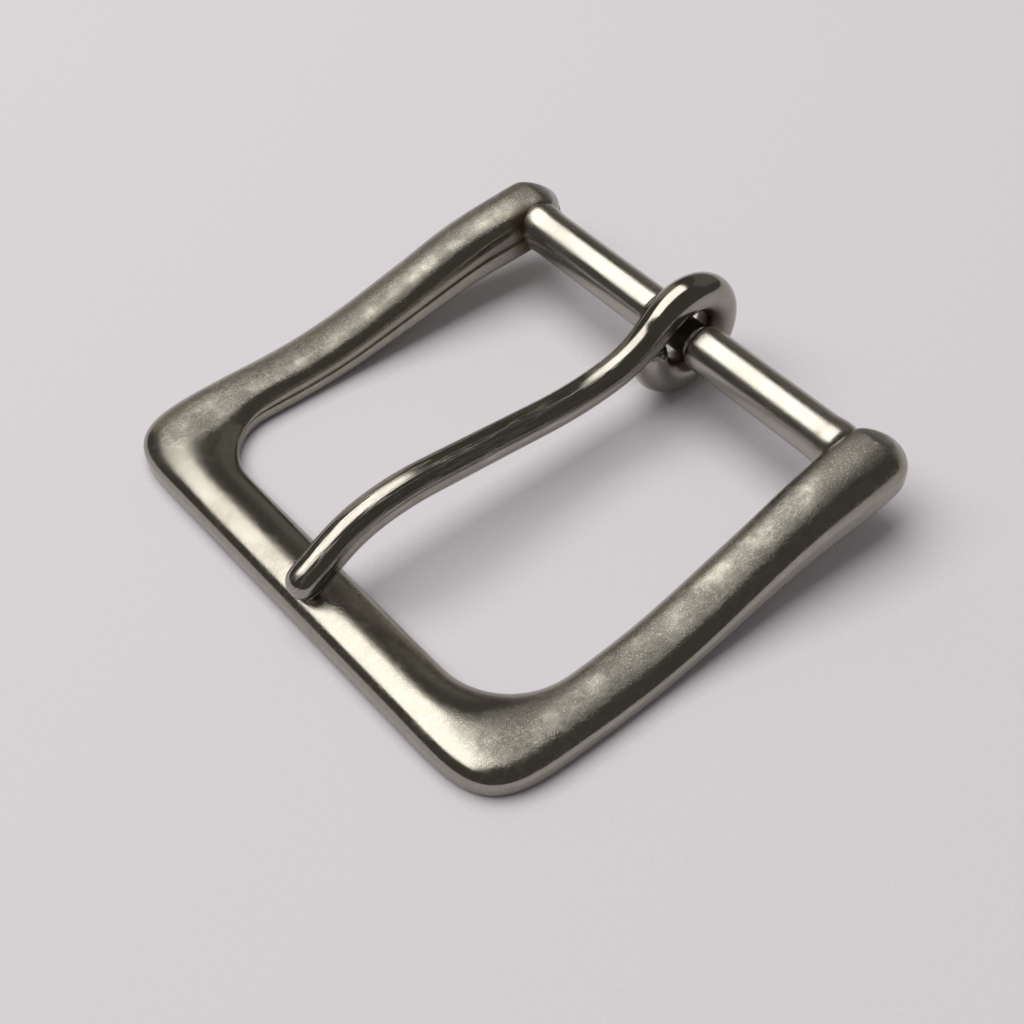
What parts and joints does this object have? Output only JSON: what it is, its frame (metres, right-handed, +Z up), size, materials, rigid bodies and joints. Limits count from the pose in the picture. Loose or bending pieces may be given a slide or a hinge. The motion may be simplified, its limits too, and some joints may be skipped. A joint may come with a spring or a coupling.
{
  "type": "belt buckle",
  "caption": "Open-frame belt buckle with a domed cast frame, a necked round heel bar and a bent-wire prong that swings on the bar and rests on the front bar.",
  "frame": {"origin": "middle of the buckle's outline on the surface it lies on, back face down", "axes": "+X along the heel bar, +Y from the front bar to the heel bar, +Z up out of the flat back"},
  "size_m": [0.0552, 0.0534, 0.013],
  "materials": {
    "frame_nickel": "antique nickel plate, polished and lightly worn",
    "bar_nickel": "bright nickel plate",
    "prong_nickel": "antique nickel plate, dark, with fine scratches along the top"
  },
  "bodies": {
    "buckle_frame": {"frame": "frame_nickel", "heel_bar": "bar_nickel"},
    "buckle_prong": {"prong": "prong_nickel"}
  },
  "joints": [
    {"name": "prong_swing", "type": "hinge", "parent": "buckle_frame", "child": "buckle_prong", "pos_m": [0, 0.02007, 0.00665], "axis": [-1, 0, 0], "range_deg": [0, 185]}
  ]
}
